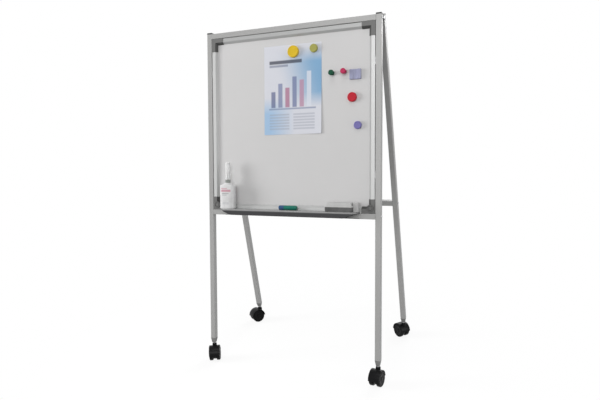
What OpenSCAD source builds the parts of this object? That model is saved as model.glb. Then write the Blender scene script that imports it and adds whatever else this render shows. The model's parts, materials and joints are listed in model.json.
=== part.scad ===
// Mobile magnetic whiteboard easel: two hinged square-tube frames on castors,
// a framed steel board in the front frame, a pen tray and its magnets and tools.
// Millimetres, +Z up, the reader's side of the board faces -Y.

/* [Frames] */
// Outside width of both frames
frame_w = 635; // [500:5:900]
// Length of each leg tube
leg_len = 1091; // [950:1:1300]
// Outside size of the square tube
tube = 18; // [16:1:22]
// Wall of the square tube
tube_wall = 1.5; // [1:0.1:2.5]
// Corner radius of the square tube
tube_r = 1.5; // [0.5:0.1:2.5]
// Lean of each frame from the vertical when the easel is open
lean = 8.4; // [6:0.1:11]
// Lower face of the bottom rail and the crossbar, above the tube ends
rail_v = 452.5; // [380:0.5:520]
// Height of the tube ends above the floor, on the tube's centre line
leg_end_h = 79; // [74:0.5:84]
// Depth that inserts reach into a tube
insert_len = 22; // [18:1:30]
// Clearance of an insert inside its tube, on each side
insert_clear = 0.1; // [0.05:0.05:0.3]
// Width of a tapered foot plug at its lower end
foot_w = 10.5; // [10.2:0.1:14]

/* [Hinge] */
// Distance from a tube's inner face to the hinge pin axis
pin_gap = 8.5; // [7.5:0.5:12]
// Distance from the tube tops down to the hinge pin axis
pin_drop = 6; // [6:0.5:10]
// Radius of the hinge pin
pin_r = 2.5; // [2:0.1:3]
// Radius of the hinge ears
ear_r = 5.5; // [5:0.1:5.6]
// Thickness of the cap plate over a tube top
cap_t = 5; // [3:0.5:8]
// Gap between the cap plates when the easel is open
stop_gap = 0.3; // [0.1:0.1:0.5]
// Gap between the two ears of a hinge
ear_gap = 0.6; // [0.3:0.1:1.2]
// Radial clearance of turning pins, stems and axles
run_clear = 0.05; // [0.03:0.01:0.1]
// Radius and height of the hinge pin heads
pin_head = [4.2, 1.6];

/* [Board] */
// Gap from the board's rim to the uprights
side_clear = 2; // [1.5:0.5:5]
// Gap from the board's rim to the rails
end_clear = 1.6; // [1.4:0.1:4]
// Depth of the rim's front face behind the tube's front face
rim_front = 1.5; // [1.5:0.5:4]
// Depth of the writing surface behind the tube's front face
surface_d = 9; // [6:0.5:9.5]
// Width of the rim's flat front face
rim_flat = 12.5; // [8:0.5:15]
// Width of the whole rim
rim_w = 19.5; // [17:0.5:24]
// Wall of the rim profile
rim_wall = 1.2; // [0.8:0.1:1.6]
// Thickness of the steel writing sheet
sheet_t = 0.5; // [0.4:0.1:1]
// Thickness of the board's core
core_t = 5.5; // [4:0.1:6]
// Thickness of the back sheet
back_t = 0.5; // [0.3:0.1:1]
// Width of the rim's back flange
flange_w = 8; // [5:0.5:12]
// Gap from the sheets' edges to the rim's outer wall
sheet_inset = 1.8; // [1:0.1:3]
// Length of each leg of a corner cap
corner_len = 44; // [30:1:60]
// Wall of a corner cap
corner_t = 1.2; // [0.8:0.1:1.3]
// Height of a board bracket along the upright
bracket_h = 24; // [16:1:40]
// Reach of a board bracket behind the board
bracket_reach = 27; // [18:1:40]
// Thickness of a board bracket behind the board
bracket_t = 1.6; // [1:0.1:2]
// Distance from the board's ends to the brackets
bracket_inset = 110; // [70:5:180]

/* [Tray] */
// Length of the tray
tray_len = 500; // [300:5:560]
// Depth of the tray in front of the frame
tray_depth = 40; // [38:1:60]
// Height of the tray floor above the bottom rail
tray_rise = 5; // [1:0.5:6]
// Drop of the tray's front edge below its floor
nose_h = 19.5; // [14:0.5:24]
// Wall of the tray
tray_wall = 2; // [1.5:0.1:3]
// Radius of the tray's rounded front edge
nose_r = 7; // [4:0.5:8]
// Radius of the tray's front corners, seen from above
tray_corner_r = 22; // [15:1:30]
// Length and height left at the end of the slanted ends of the tray's front edge
tray_slant = [48, 3.5];
// Number of tray screws
tray_screws = 3; // [2:1:5]

/* [Screws] */
// Radius of the frame screws
screw_r = 2.5; // [2:0.1:3]
// Clearance of the frame screws in their holes
screw_clear = 0.1; // [0.05:0.05:0.3]
// Radius and height of a screw head
screw_head = [4.5, 2.2];

/* [Castors] */
// Wheel radius
wheel_r = 25; // [22:0.5:26]
// Width of one wheel
wheel_w = 12.3; // [10:0.1:18]
// Thickness of the yoke's middle web
web_t = 12; // [11:0.5:14]
// Gap between web and wheel
wheel_gap = 0.5; // [0.3:0.1:1]
// Distance from the stem axis to the wheel axle
trail = 14.5; // [12:0.5:20]
// Gap between wheel and hood
hood_gap = 1.2; // [0.8:0.1:2]
// Thickness of the hood
hood_t = 2.2; // [1.5:0.1:3]
// Radius of the stem
stem_r = 4; // [3:0.5:4]
// Length of the stem inside the foot plug
stem_hold = 19; // [14:0.5:19]
// Radius of the wheel axle
axle_r = 3; // [2:0.1:4]
// Top of the yoke's collar above the floor
collar_top = 58; // [56:0.5:60]
// Radius of the yoke's collar
collar_r = 8; // [7:0.5:10]
// How each castor is turned at rest: front left, front right, rear left, rear right
castor_turn = [27, -7, -37, 232];

/* [Magnets] */
// Distance right of the board's middle and below its top edge, diameter and height
yellow_large = [15.5, 68.5, 40, 9];
// The same for the small yellow magnet
yellow_small = [89, 64, 28, 8];
// Distance from the board's right edge and below its top edge, diameter and height
red_magnet = [76.5, 230, 31, 9];
// The same for the violet magnet
violet_magnet = [58, 319.5, 26, 8];
// Distance of the green pin magnet from the board's right edge and below its top edge
green_pin = [144, 149.5];
// The same for the pink pin magnet
pink_pin = [103, 147.5];
// Height of a pin magnet
pin_magnet_h = 20; // [16:1:28]
// Radius of a pin magnet's head
pin_magnet_r = 9; // [6:0.5:10]
// Distance of the block magnet's middle from the board's right edge and below its top edge
block_magnet = [66, 158.5];
// Width, height and thickness of the block magnet
block_size = [38, 32, 7];

/* [Paper] */
// Distance of the sheet's middle right of the board's middle and below its top edge
paper_at = [10.5, 193];
// Width, height and thickness of the sheet
paper_size = [210, 297, 0.3];

/* [Tray tools] */
// Gap between the tray tools and the tubes' front plane
tool_gap = 1; // [0.5:0.5:3]
// Sideways place of the marker's cap end
marker_x = -33; // [-120:1:60]
// Length of the marker's cap
marker_cap_len = 20; // [16:1:30]
// Length of the marker's barrel
marker_len = 46; // [40:1:120]
// Radius of the marker
marker_r = 7.8; // [7:0.1:9]
// Sideways place of the eraser's left end
eraser_x = 141.5; // [60:0.5:142]
// Length, depth and height of the eraser
eraser_size = [92, 33, 30];
// Height of the eraser's felt pad
felt_h = 15; // [8:0.5:18]
// Length and depth of the block at the eraser's right end
eraser_end = [17, 22];
// Sideways place of the bottle's middle
bottle_x = -227.5; // [-228:0.5:-180]
// Width, depth and body height of the bottle
bottle_size = [55, 34, 82];
// Height of the bottle's shoulder
shoulder_h = 9; // [6:1:24]
// Radius and height of the bottle's collar
collar = [9, 11];
// Radius and height of the spray pump's head
pump = [5, 12];
// Travel of the pump
pump_travel = 4; // [3:0.5:5]
// Outer radius and height of the bottle's cap
cap = [7.8, 59];
// Radial gap between the cap and the pump
cap_gap = 1.2; // [0.8:0.1:1.4]

/* [Hidden] */
$fn = 48;

// Colours
ALU = [0.70, 0.70, 0.69];
ALU_LIGHT = [0.86, 0.86, 0.85];
BOARD = [0.90, 0.90, 0.89];
DARK_GREY = [0.30, 0.30, 0.29];
MID_GREY = [0.55, 0.55, 0.54];
BLACK = [0.06, 0.06, 0.06];
STEEL = [0.60, 0.60, 0.60];

// Places derived from the driving dimensions
half_w = frame_w / 2;
inner_x = half_w - tube;
leg_x = half_w - tube / 2;
pin_d = tube + pin_gap;
pin_v = leg_len - pin_drop;
pin_z = leg_end_h + tube / 2 * sin(lean) + pin_v * cos(lean) - pin_d * sin(lean);
rail_top = rail_v + tube;
top_rail_v = leg_len - tube;
insert_w = tube - 2 * tube_wall - 2 * insert_clear;

// Board places, x across and v up the frame
panel_x = inner_x - side_clear;
panel_v0 = rail_top + end_clear;
panel_v1 = top_rail_v - end_clear;
panel_h = panel_v1 - panel_v0;
core_d = surface_d + sheet_t;
back_d = core_d + core_t;
flange_d = back_d + back_t;
rim_back = flange_d + rim_wall;

// Tray places
floor_v = rail_top + tray_rise;
tray_screw_v = rail_v + tube / 2;
tray_pitch = tray_len / (tray_screws + 1);
corner_x = tray_len / 2 - tray_corner_r;
corner_y = tray_depth - tray_corner_r;

// Castor places
stem_x = leg_x;
hood_r = wheel_r + hood_gap + hood_t;
castor_w = web_t + 2 * (wheel_gap + wheel_w);
axle_half = castor_w / 2 - 0.8;
flange_gap = 0.3;
plug_face_z = collar_top + flange_gap + 3.2;
// the stem stands where the leg's centre line meets the castor's seat
stem_y = (pin_d - tube / 2) * cos(lean) + pin_v * sin(lean) + (leg_end_h - plug_face_z) * tan(lean);
stem_bottom = wheel_r + 6;
stem_top = plug_face_z + stem_hold;
castor_at = [[-stem_x, -stem_y], [stem_x, -stem_y], [-stem_x, stem_y], [stem_x, stem_y]];

// Plan reach of one castor along a world axis, from its stem
function plan_corners(turn) = [for (a = [-castor_w / 2, castor_w / 2], b = [-trail - hood_r, -trail + hood_r])
    [a * cos(turn) - b * sin(turn), a * sin(turn) + b * cos(turn)]];
corners = [for (i = [0:3], p = plan_corners(castor_turn[i])) castor_at[i] + p];
// Offset that puts the middle of the footprint at the origin
centre_x = (max([for (p = corners) p[0]]) + min([for (p = corners) p[0]])) / 2;
centre_y = (max([for (p = corners) p[1]]) + min([for (p = corners) p[1]])) / 2;

// Moves children from the stand's own centre to the part's origin
module stand() {
    translate([-centre_x, -centre_y, 0]) children();
}

// Places children given as x across, y depth behind the front face, z up the leg
module on_front() {
    stand() translate([0, 0, pin_z]) rotate([-lean, 0, 0]) translate([0, -pin_d, -pin_v]) children();
}

// The same for the rear frame, which mirrors the front one
module on_rear() {
    stand() mirror([0, 1, 0]) translate([0, 0, pin_z]) rotate([-lean, 0, 0])
        translate([0, -pin_d, -pin_v]) children();
}

// Draws children on the right and mirrored on the left
module both_sides() {
    children();
    mirror([1, 0, 0]) children();
}

// Square with round corners made of exact arcs
module round_square(size, r) {
    translate([r, 0]) square([size[0] - 2 * r, size[1]]);
    translate([0, r]) square([size[0], size[1] - 2 * r]);
    for (x = [r, size[0] - r], y = [r, size[1] - r]) translate([x, y]) circle(r);
}

module tube_section() {
    difference() {
        round_square([tube, tube], tube_r);
        translate([tube_wall, tube_wall]) square(tube - 2 * tube_wall);
    }
}

// One leg on the right-hand side, with holes for the rail screws
module leg_tube() {
    difference() {
        translate([inner_x, 0, 0]) linear_extrude(leg_len) tube_section();
        for (v = [rail_v, top_rail_v])
            translate([inner_x - 1, tube / 2, v + tube / 2]) rotate([0, 90, 0])
                cylinder(r = screw_r + screw_clear, h = tube + 2);
    }
}

// A rail between the legs, its lower face at height v
module rail_tube(v) {
    translate([-inner_x, 0, v]) rotate([90, 0, 90]) linear_extrude(2 * inner_x) tube_section();
}

// Blocks inside the rail ends that take the frame screws
module rail_inserts() {
    side = (tube - insert_w) / 2;
    both_sides() for (v = [rail_v, top_rail_v])
        difference() {
            translate([inner_x - insert_len, side, v + side]) cube([insert_len, insert_w, insert_w]);
            translate([inner_x - insert_len - 1, tube / 2, v + tube / 2]) rotate([0, 90, 0])
                cylinder(r = screw_r + screw_clear / 2, h = insert_len + 2);
        }
}

// Screws through the legs into the rail ends
module rail_screws() {
    both_sides() for (v = [rail_v, top_rail_v])
        translate([half_w, tube / 2, v + tube / 2]) rotate([0, 90, 0]) {
            translate([0, 0, -tube - insert_len + 2]) cylinder(r = screw_r, h = tube + insert_len - 1);
            pan_head();
        }
}

// Low screw head with a cross recess, its underside at z = 0
module pan_head() {
    recess = screw_head[0] * 0.9;
    difference() {
        union() {
            cylinder(r = screw_head[0], h = screw_head[1] / 2);
            translate([0, 0, screw_head[1] / 2])
                cylinder(r1 = screw_head[0], r2 = screw_head[0] * 0.7, h = screw_head[1] / 2);
        }
        for (a = [0, 90]) rotate(a)
            translate([-recess / 2, -0.5, screw_head[1] - 1]) cube([recess, 1, 2]);
    }
}

// Hinge cap for the right-hand tube top; its ear fills the x range given
module hinge_cap(ear_x0, ear_x1) {
    side = (tube - insert_w) / 2;
    difference() {
        union() {
            // plate over the tube, reaching to the middle of the stand
            translate([inner_x, 0, leg_len]) cap_plate();
            translate([inner_x + side, side, leg_len - insert_len]) cube([insert_w, insert_w, insert_len]);
            translate([ear_x0, 0, 0]) rotate([90, 0, 90]) linear_extrude(ear_x1 - ear_x0) ear_profile();
        }
        translate([inner_x - 1, pin_d, pin_v]) rotate([0, 90, 0])
            cylinder(r = pin_r + run_clear, h = tube + 2);
        translate([inner_x - 1, tube / 2, top_rail_v + tube / 2]) rotate([0, 90, 0])
            cylinder(r = screw_r + screw_clear / 2, h = tube + 2);
    }
}

// Plate with a rounded front top edge, cut at the stand's middle plane
module cap_plate() {
    r = cap_t / 2;
    rotate([90, 0, 90]) linear_extrude(tube)
        difference() {
            union() {
                translate([r, 0]) square([pin_d + cap_t - r, cap_t]);
                square([cap_t, cap_t - r]);
                translate([r, cap_t - r]) circle(r);
            }
            // the middle plane leans against the frame by the lean angle
            translate([pin_d - stop_gap / 2 / cos(lean), -pin_drop]) rotate(lean)
                translate([0, -cap_t]) square([4 * cap_t, 4 * cap_t]);
        }
}

module ear_profile() {
    translate([pin_d, pin_v]) circle(ear_r);
    polygon([[tube + 0.2, leg_len + 1], [tube + 0.2, pin_v - ear_r], [pin_d, pin_v - ear_r],
        [pin_d, pin_v + ear_r * 0.5], [pin_d - 2.5, leg_len + 1]]);
}

// Pins through both ears, with a head at each end
module hinge_pin() {
    translate([inner_x - pin_head[1], pin_d, pin_v]) rotate([0, 90, 0]) {
        cylinder(r = pin_r, h = tube + 2 * pin_head[1]);
        cylinder(r = pin_head[0], h = pin_head[1]);
        translate([0, 0, tube + pin_head[1]]) cylinder(r = pin_head[0], h = pin_head[1]);
    }
}

// Foot plug of one leg: an insert, and a tapered foot down to the castor's seat
module leg_plug() {
    side = (tube - insert_w) / 2;
    drop = leg_end_h - plug_face_z + 3;
    inset = (tube - foot_w) / 2;
    taper = [[0, 0], [tube, 0], [tube - inset, -drop], [inset, -drop]];
    translate([inner_x + side, side, 0]) cube([insert_w, insert_w, insert_len]);
    translate([inner_x, 0, 0]) intersection() {
        rotate([90, 0, 90]) linear_extrude(tube) polygon(taper);
        translate([0, tube, 0]) rotate([90, 0, 0]) linear_extrude(tube) polygon(taper);
    }
}

// Takes the stem's bore and everything below the level seat out of the plugs
module plug_cuts() {
    for (x = [-stem_x, stem_x]) {
        translate([x - tube, -stem_y - tube, 0]) cube([2 * tube, 2 * tube, plug_face_z]);
        translate([x, -stem_y, plug_face_z - 1]) cylinder(r = stem_r + run_clear, h = stem_top - plug_face_z + 2);
    }
}

// Stems with the flange that carries the plug
module castor_stem() {
    translate([stem_x, -stem_y, stem_bottom]) {
        cylinder(r = stem_r, h = stem_top - stem_bottom);
        translate([0, 0, collar_top + flange_gap - stem_bottom])
            cylinder(r = stem_r + 1.2, h = plug_face_z - collar_top - flange_gap, $fn = 6);
    }
}

// Sheet of the board at depth d, lying inside the rim
module board_sheet(d, t) {
    translate([-panel_x + sheet_inset, d, panel_v0 + sheet_inset])
        cube([2 * (panel_x - sheet_inset), t, panel_h - 2 * sheet_inset]);
}

// Rim section as depth and distance from the board's outer edge
module rim_section() {
    polygon([[rim_front, 0], [rim_front, rim_flat], [surface_d, rim_w], [surface_d, rim_w - 1.8],
        [rim_front + rim_wall, rim_flat - 0.6], [rim_front + rim_wall, rim_wall],
        [flange_d, rim_wall], [flange_d, flange_w], [rim_back, flange_w], [rim_back, 0]]);
}

// One rim bar along X with mitred ends, its outer edge at z = 0
module rim_bar(length) {
    intersection() {
        translate([-length / 2, 0, 0]) rotate([90, 0, 90]) linear_extrude(length) rim_section();
        translate([0, tube + 1, 0]) rotate([90, 0, 0]) linear_extrude(tube + 2)
            polygon([[-length / 2, 0], [length / 2, 0],
                [length / 2 - rim_w - 2, rim_w + 2], [-length / 2 + rim_w + 2, rim_w + 2]]);
    }
}

// Section of a corner cap, which wraps the rim
module corner_section() {
    polygon([[rim_back, -corner_t], [rim_front - corner_t, -corner_t],
        [rim_front - corner_t, rim_flat + 0.4], [surface_d - 0.6, rim_w + corner_t],
        [surface_d, rim_w + corner_t], [surface_d, rim_w], [rim_front, rim_flat],
        [rim_front, 0], [rim_back, 0]]);
}

// One leg of a corner cap along X, mitred at the corner
module corner_leg() {
    reach = rim_w + 4;
    intersection() {
        translate([-corner_t, 0, 0]) rotate([90, 0, 90]) linear_extrude(corner_len + corner_t) corner_section();
        translate([0, tube + 1, 0]) rotate([90, 0, 0]) linear_extrude(tube + 2)
            polygon([[-corner_t, -corner_t], [corner_len, -corner_t], [corner_len, reach], [reach, reach]]);
    }
}

module corner_cap() {
    translate([panel_x, 0, panel_v0]) mirror([1, 0, 0]) {
        corner_leg();
        mirror([1, 0, -1]) corner_leg();
    }
}

// Bracket that holds the board's rim to an upright
module board_bracket(v) {
    translate([panel_x, rim_front + 1, v]) cube([side_clear, rim_back + bracket_t - rim_front - 1, bracket_h]);
    translate([panel_x - bracket_reach, rim_back, v]) cube([bracket_reach + side_clear, bracket_t, bracket_h]);
}

// Edge of the tray: distance outward up to the corner radius, height from the floor
module tray_edge() {
    flat = tray_corner_r - nose_r;
    translate([0, -tray_wall]) square([flat, tray_wall]);
    translate([flat, -nose_r]) intersection() {
        difference() {
            circle(nose_r);
            circle(nose_r - tray_wall);
        }
        square(nose_r);
    }
    translate([tray_corner_r - tray_wall, -nose_h]) square([tray_wall, nose_h - nose_r]);
}

module pen_tray() {
    color(DARK_GREY) on_front() difference() {
        union() {
            // back plate on the rail
            translate([-tray_len / 2 + tray_wall, -tray_wall, rail_v + 1])
                cube([tray_len - 2 * tray_wall, tray_wall, floor_v - rail_v - 1]);
            translate([0, 0, floor_v]) {
                translate([-corner_x, -corner_y, -tray_wall]) cube([2 * corner_x, corner_y, tray_wall]);
                translate([-corner_x, -corner_y, 0]) mirror([0, 1, 0]) rotate([90, 0, 90])
                    linear_extrude(2 * corner_x) tray_edge();
                both_sides() translate([corner_x, 0, 0]) rotate([90, 0, 0])
                    linear_extrude(corner_y) tray_edge();
                both_sides() translate([corner_x, -corner_y, 0]) intersection() {
                    rotate_extrude($fn = 96) tray_edge();
                    translate([0, -tray_corner_r - 1, -nose_h - 1])
                        cube([tray_corner_r + 1, tray_corner_r + 1, nose_h + 2]);
                }
            }
        }
        tray_screw_places() translate([0, 0, -5]) cylinder(r = screw_r - 0.5 + screw_clear, h = 10);
        both_sides() translate([0, 0, floor_v]) rotate([90, 0, 0]) linear_extrude(tray_depth + 1)
            polygon([[tray_len / 2 + 1, -tray_slant[1]], [tray_len / 2, -tray_slant[1]],
                [tray_len / 2 - tray_slant[0], -nose_h - 1], [tray_len / 2 + 1, -nose_h - 1]]);
    }
}

// Screw axes along the tray, z pointing to the front
module tray_screw_places() {
    for (i = [1:tray_screws])
        translate([-tray_len / 2 + i * tray_pitch, 0, tray_screw_v]) rotate([90, 0, 0]) children();
}

// Front frame
module left_upright() color(ALU) on_front() mirror([1, 0, 0]) leg_tube();
module right_upright() color(ALU) on_front() leg_tube();
module top_rail() color(ALU) on_front() rail_tube(top_rail_v);
module bottom_rail() color(ALU) on_front() difference() {
    rail_tube(rail_v);
    tray_screw_places() translate([0, 0, -tube_wall - 1]) cylinder(r = screw_r - 0.5 + screw_clear, h = 5);
}
module front_rail_inserts() color(BLACK) on_front() rail_inserts();
module front_screws() color(STEEL) on_front() {
    rail_screws();
    tray_screw_places() {
        translate([0, 0, -8]) cylinder(r = screw_r - 0.5, h = 8 + tray_wall);
        translate([0, 0, tray_wall]) pan_head();
    }
}
module front_hinge_caps() color(BLACK) on_front() both_sides()
    hinge_cap(inner_x, inner_x + (tube - ear_gap) / 2);
module front_leg_plugs() color(MID_GREY) difference() {
    on_front() both_sides() leg_plug();
    stand() plug_cuts();
}
module front_castor_stems() color(STEEL) stand() both_sides() castor_stem();

// Rear frame
module rear_left_leg() color(ALU) on_rear() mirror([1, 0, 0]) leg_tube();
module rear_right_leg() color(ALU) on_rear() leg_tube();
module rear_top_rail() color(ALU) on_rear() rail_tube(top_rail_v);
module rear_crossbar() color(ALU) on_rear() rail_tube(rail_v);
module rear_rail_inserts() color(BLACK) on_rear() rail_inserts();
module rear_screws() color(STEEL) on_rear() rail_screws();
module rear_hinge_caps() color(BLACK) on_rear() both_sides()
    hinge_cap(half_w - (tube - ear_gap) / 2, half_w);
module hinge_pins() color(STEEL) on_front() both_sides() hinge_pin();
module rear_leg_plugs() color(MID_GREY) difference() {
    on_rear() both_sides() leg_plug();
    stand() mirror([0, 1, 0]) plug_cuts();
}
module rear_castor_stems() color(STEEL) stand() mirror([0, 1, 0]) both_sides() castor_stem();

// Board
module writing_surface() color(BOARD) on_front() board_sheet(surface_d, sheet_t);
module board_core() color([0.75, 0.68, 0.55]) on_front() board_sheet(core_d, core_t);
module board_back_sheet() color(STEEL) on_front() board_sheet(back_d, back_t);
module rim_bottom() color(ALU_LIGHT) on_front() translate([0, 0, panel_v0]) rim_bar(2 * panel_x);
module rim_top() color(ALU_LIGHT) on_front() translate([0, 0, panel_v1]) mirror([0, 0, 1])
    rim_bar(2 * panel_x);
module rim_left() color(ALU_LIGHT) on_front() translate([-panel_x, 0, (panel_v0 + panel_v1) / 2])
    rotate([0, 90, 0]) rim_bar(panel_h);
module rim_right() color(ALU_LIGHT) on_front() translate([panel_x, 0, (panel_v0 + panel_v1) / 2])
    rotate([0, -90, 0]) rim_bar(panel_h);
module rim_corner_caps() color(DARK_GREY) on_front() both_sides() {
    corner_cap();
    translate([0, 0, panel_v0 + panel_v1]) mirror([0, 0, 1]) corner_cap();
}
module board_brackets() color(STEEL) on_front() both_sides() {
    board_bracket(panel_v0 + bracket_inset);
    board_bracket(panel_v1 - bracket_inset - bracket_h);
}
module paper_sheet() color("white") on_front()
    translate([paper_at[0] - paper_size[0] / 2, surface_d - paper_size[2],
        panel_v1 - paper_at[1] - paper_size[1] / 2])
        cube([paper_size[0], paper_size[2], paper_size[1]]);

// Places children at a spot of the board, z pointing away from it; down runs from its top edge
module on_board(x, down, d) {
    on_front() translate([x, d, panel_v1 - down]) rotate([90, 0, 0]) children();
}

// The same, placed by the distance from the board's right edge
module on_board_right(from_right, down) {
    on_board(panel_x - from_right, down, surface_d) children();
}

// Castors: local origin on the floor under the stem, axle along X, trailing to -Y
module castor_place(i) {
    stand() translate([castor_at[i][0], castor_at[i][1], 0]) rotate(castor_turn[i]) children();
}

// Side profile of the yoke, as distance from the stem and height
module yoke_profile() {
    translate([-trail, wheel_r]) {
        circle(wheel_r - 5);
        intersection() {
            circle(hood_r);
            translate([-hood_r, 0]) square([2 * hood_r, hood_r]);
        }
    }
    translate([-collar_r, stem_bottom - 3]) square([2 * collar_r - 1, collar_top - 4 - stem_bottom]);
}

module hood_profile() {
    translate([-trail, wheel_r]) difference() {
        circle(hood_r);
        circle(wheel_r + hood_gap);
        translate([-2 * hood_r, -4 * hood_r]) square([4 * hood_r, 4 * hood_r]);
    }
}

module yoke() {
    difference() {
        union() {
            rotate([90, 0, 90]) translate([0, 0, -web_t / 2]) linear_extrude(web_t) yoke_profile();
            rotate([90, 0, 90]) translate([0, 0, -castor_w / 2]) linear_extrude(castor_w) hood_profile();
            intersection() {
                translate([0, 0, wheel_r + 10]) cylinder(r = collar_r, h = collar_top - wheel_r - 10);
                translate([-collar_r, -trail, wheel_r]) rotate([0, 90, 0]) difference() {
                    translate([-collar_top, -collar_r, 0]) cube([2 * collar_top, 2 * trail + 2 * collar_r, 2 * collar_r]);
                    cylinder(r = wheel_r + hood_gap, h = 2 * collar_r);
                }
            }
        }
        translate([0, 0, stem_bottom - 0.5]) cylinder(r = stem_r + run_clear, h = collar_top);
        translate([-castor_w, -trail, wheel_r]) rotate([0, 90, 0]) cylinder(r = axle_r + 0.02, h = 2 * castor_w);
    }
}

module axle() {
    translate([-axle_half, -trail, wheel_r]) rotate([0, 90, 0]) cylinder(r = axle_r, h = 2 * axle_half);
}

// Wheel with rounded tread edges, a dished outer face and a hub
module wheel(side) {
    edge = 2.5;
    dish = 3;
    inner = web_t / 2 + wheel_gap;
    translate([0, -trail, wheel_r]) rotate([0, side * 90, 0]) translate([0, 0, inner]) difference() {
        rotate_extrude($fn = 64) difference() {
            union() {
                square([wheel_r - edge, wheel_w]);
                translate([0, edge]) square([wheel_r, wheel_w - 2 * edge]);
                for (z = [edge, wheel_w - edge]) translate([wheel_r - edge, z]) circle(edge);
            }
            translate([8, wheel_w - dish]) square([wheel_r - 14, dish + 1]);
        }
        translate([0, 0, -1]) cylinder(r = axle_r + run_clear, h = wheel_w + 2);
    }
}

// Round magnet with a bevelled edge and a shallow dish, its back at z = 0
module round_magnet(spec) {
    r = spec[2] / 2;
    h = spec[3];
    difference() {
        union() {
            cylinder(r = r, h = h - 2.5);
            translate([0, 0, h - 2.5]) cylinder(r1 = r, r2 = r - 2.5, h = 2.5);
        }
        translate([0, 0, h - 0.8]) cylinder(r1 = r - 5.5, r2 = r - 4.5, h = 1);
    }
}

// Pin-shaped magnet: foot, waist and flared head
module pin_magnet() {
    r = pin_magnet_r;
    h = pin_magnet_h;
    cylinder(r = r * 0.78, h = h * 0.15);
    translate([0, 0, h * 0.15]) cylinder(r1 = r * 0.78, r2 = r * 0.5, h = h * 0.3);
    translate([0, 0, h * 0.45]) cylinder(r1 = r * 0.5, r2 = r, h = h * 0.3);
    translate([0, 0, h * 0.75]) cylinder(r = r, h = h * 0.12);
    translate([0, 0, h * 0.87]) cylinder(r1 = r, r2 = r * 0.75, h = h * 0.13);
}

module magnet_yellow_large() color([0.85, 0.68, 0.10])
    on_board(yellow_large[0], yellow_large[1], surface_d - paper_size[2]) round_magnet(yellow_large);
module magnet_yellow_small() color([0.62, 0.60, 0.22])
    on_board(yellow_small[0], yellow_small[1], surface_d - paper_size[2]) round_magnet(yellow_small);
module magnet_red() color([0.72, 0.08, 0.14])
    on_board_right(red_magnet[0], red_magnet[1]) round_magnet(red_magnet);
module magnet_violet() color([0.45, 0.40, 0.68])
    on_board_right(violet_magnet[0], violet_magnet[1]) round_magnet(violet_magnet);
module pin_magnet_green() color([0.02, 0.28, 0.18]) on_board_right(green_pin[0], green_pin[1]) pin_magnet();
module pin_magnet_pink() color([0.78, 0.18, 0.38]) on_board_right(pink_pin[0], pink_pin[1]) pin_magnet();
module magnet_block() color([0.62, 0.58, 0.76])
    on_board_right(block_magnet[0] + block_size[0] / 2, block_magnet[1] + block_size[1] / 2)
        difference() {
            linear_extrude(block_size[2]) round_square([block_size[0], block_size[1]], 4);
            // finger groove across the middle
            translate([block_size[0] / 2, -1, block_size[2] + 14]) rotate([-90, 0, 0])
                cylinder(r = 16, h = block_size[1] + 2, $fn = 96);
        }

// Places a tool on the tray floor, its back just in front of the tubes' front plane
module on_tray(x, depth) {
    on_front() translate([x, -depth / 2 - tool_gap, floor_v]) children();
}

// Marker lying on the tray, cap to the left
module marker_barrel() color([0.02, 0.42, 0.38]) on_tray(marker_x + marker_cap_len, 2 * marker_r)
    translate([0, 0, marker_r]) rotate([0, 90, 0]) {
        cylinder(r = marker_r, h = marker_len - 2);
        translate([0, 0, marker_len - 2]) cylinder(r1 = marker_r, r2 = marker_r - 1.5, h = 2);
        translate([0, 0, -8]) cylinder(r = marker_r - 2.5, h = 8);
        translate([0, 0, -14]) cylinder(r = 2.5, h = 6);
    }
module marker_cap() color([0.08, 0.22, 0.50]) on_tray(marker_x, 2 * marker_r)
    translate([0, 0, marker_r]) rotate([0, 90, 0]) difference() {
        union() {
            translate([0, 0, 2]) cylinder(r = marker_r, h = marker_cap_len - 2);
            cylinder(r1 = marker_r - 1.5, r2 = marker_r, h = 2);
        }
        translate([0, 0, 4]) cylinder(r = marker_r - 2.2, h = marker_cap_len);
    }

// Eraser: felt pad below, grip above with a block at its right end
module eraser_felt() color([0.28, 0.28, 0.27]) on_tray(eraser_x, eraser_size[1])
    translate([0, -eraser_size[1] / 2, 0]) linear_extrude(felt_h)
        round_square([eraser_size[0], eraser_size[1]], 3);
module eraser_grip() color([0.62, 0.62, 0.61]) on_tray(eraser_x, eraser_size[1]) {
    translate([0, -eraser_size[1] / 2, felt_h]) {
        linear_extrude(4) round_square([eraser_size[0], eraser_size[1]], 3);
        translate([1, 3, 4]) linear_extrude(eraser_size[2] - felt_h - 4)
            round_square([eraser_size[0] - 2, eraser_size[1] - 6], 5);
    }
    translate([eraser_size[0], eraser_size[1] / 2 - eraser_end[1], 0])
        linear_extrude(eraser_size[2]) round_square([eraser_end[0], eraser_end[1]], 4);
    // neck between grip and end block
    translate([eraser_size[0] - 5, eraser_size[1] / 2 - eraser_end[1] + 4, felt_h])
        cube([10, eraser_end[1] - 8, eraser_size[2] - felt_h - 2]);
}

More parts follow.
